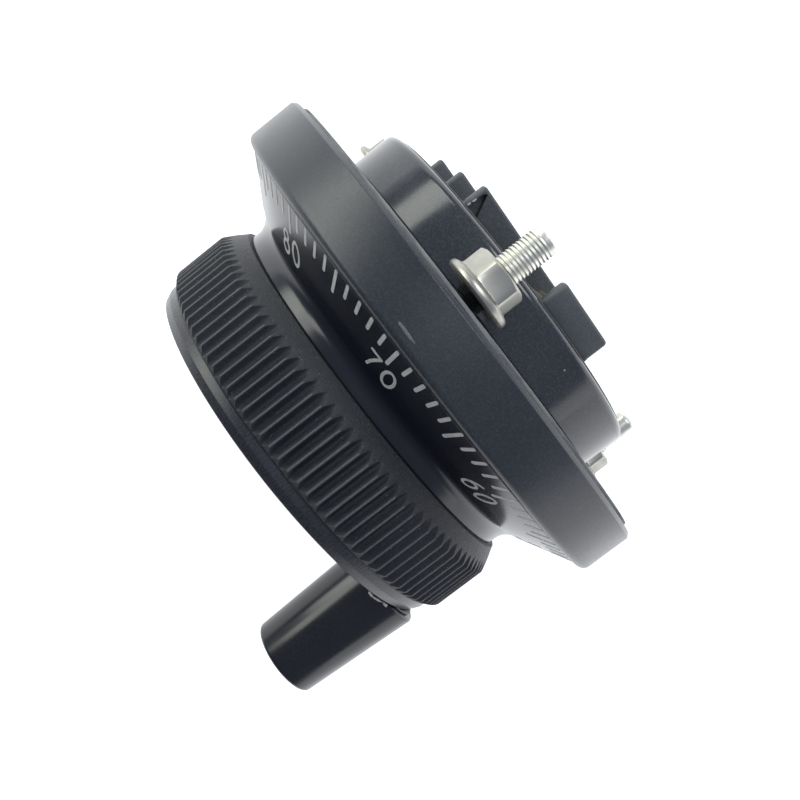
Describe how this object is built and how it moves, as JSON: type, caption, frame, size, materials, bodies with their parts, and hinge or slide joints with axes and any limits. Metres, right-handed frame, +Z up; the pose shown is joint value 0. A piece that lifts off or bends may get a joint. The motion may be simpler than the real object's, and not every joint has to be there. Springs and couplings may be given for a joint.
{
  "type": "panel handwheel",
  "caption": "Panel-mounting electronic handwheel: conical numbered dial, knurled knob and turning crank grip, with a bezel, gasket, panel studs and a rear terminal block.",
  "frame": {"origin": "on the shaft axis, where the housing's full width starts, 0.6 mm behind the plane in which the gasket meets the panel", "axes": "+Y along the shaft towards the rear of the panel, +Z up to the first stud, +X to the operator's right"},
  "size_m": [0.08, 0.0636, 0.08],
  "materials": {
    "black_painted": "satin black coating on aluminium",
    "gloss_black_paint": "glossy black coating on aluminium, white printed ticks and numerals",
    "black_moulding": "glossy moulded black plastic",
    "dark_moulding": "matte moulded dark grey plastic",
    "black_rubber": "matte rubber sheet",
    "zinc": "bright zinc plating",
    "steel": "bright steel",
    "aluminium": "turned aluminium",
    "brass": "plain brass",
    "board": "green circuit board",
    "clear_plastic": "clear lens plastic",
    "capacitor": "tan ceramic"
  },
  "bodies": {
    "housing": {"bezel": "black_painted", "panel_gasket": "black_rubber", "panel_studs": "zinc", "flange_nuts": "zinc", "rear_housing": "black_moulding", "rear_cover": "black_moulding", "cover_screws": "steel", "terminal_block": "dark_moulding", "terminal_contacts": "brass", "terminal_clamps": "zinc", "terminal_screws": "zinc", "bearing_sleeve": "aluminium", "sleeve_screws": "steel", "bearing_outer_rings": "steel", "detent_spring": "steel", "detent_roller": "steel", "detent_screw": "steel", "encoder_board": "board", "sensor_holder": "dark_moulding", "light_emitter": "clear_plastic", "photo_sensor": "dark_moulding", "mask_plate": "steel", "driver_chip": "dark_moulding", "board_capacitor": "capacitor"},
    "handwheel": {"shaft": "steel", "bearing_inner_rings": "steel", "retaining_ring": "steel", "dial_skirt": "gloss_black_paint", "skirt_screws": "steel", "knob": "black_painted", "front_disc": "black_painted", "disc_screws": "steel", "hub_washer": "steel", "hub_screw": "steel", "centre_cap": "black_moulding", "grip_washer": "black_moulding", "grip_pin": "steel", "detent_wheel": "brass", "code_hub": "aluminium", "code_disc": "steel", "code_clamp": "aluminium"},
    "ball_sets": {"bearing_balls": "steel", "ball_cages": "brass"},
    "grip": {"crank_grip": "black_moulding"}
  },
  "joints": [
    {"name": "wheel_spin", "type": "hinge", "parent": "housing", "child": "handwheel", "pos_m": [0, 0, 0], "axis": [0, 1, 0], "continuous": true},
    {"name": "cage_spin", "type": "hinge", "parent": "housing", "child": "ball_sets", "pos_m": [0, 0, 0], "axis": [0, 1, 0], "continuous": true},
    {"name": "grip_spin", "type": "hinge", "parent": "handwheel", "child": "grip", "pos_m": [0.02349, -0.04, 0.00763], "axis": [0, 1, 0], "continuous": true}
  ],
  "couplings": [
    {"joint": "cage_spin", "follows": "wheel_spin", "ratio": 0.3737}
  ]
}
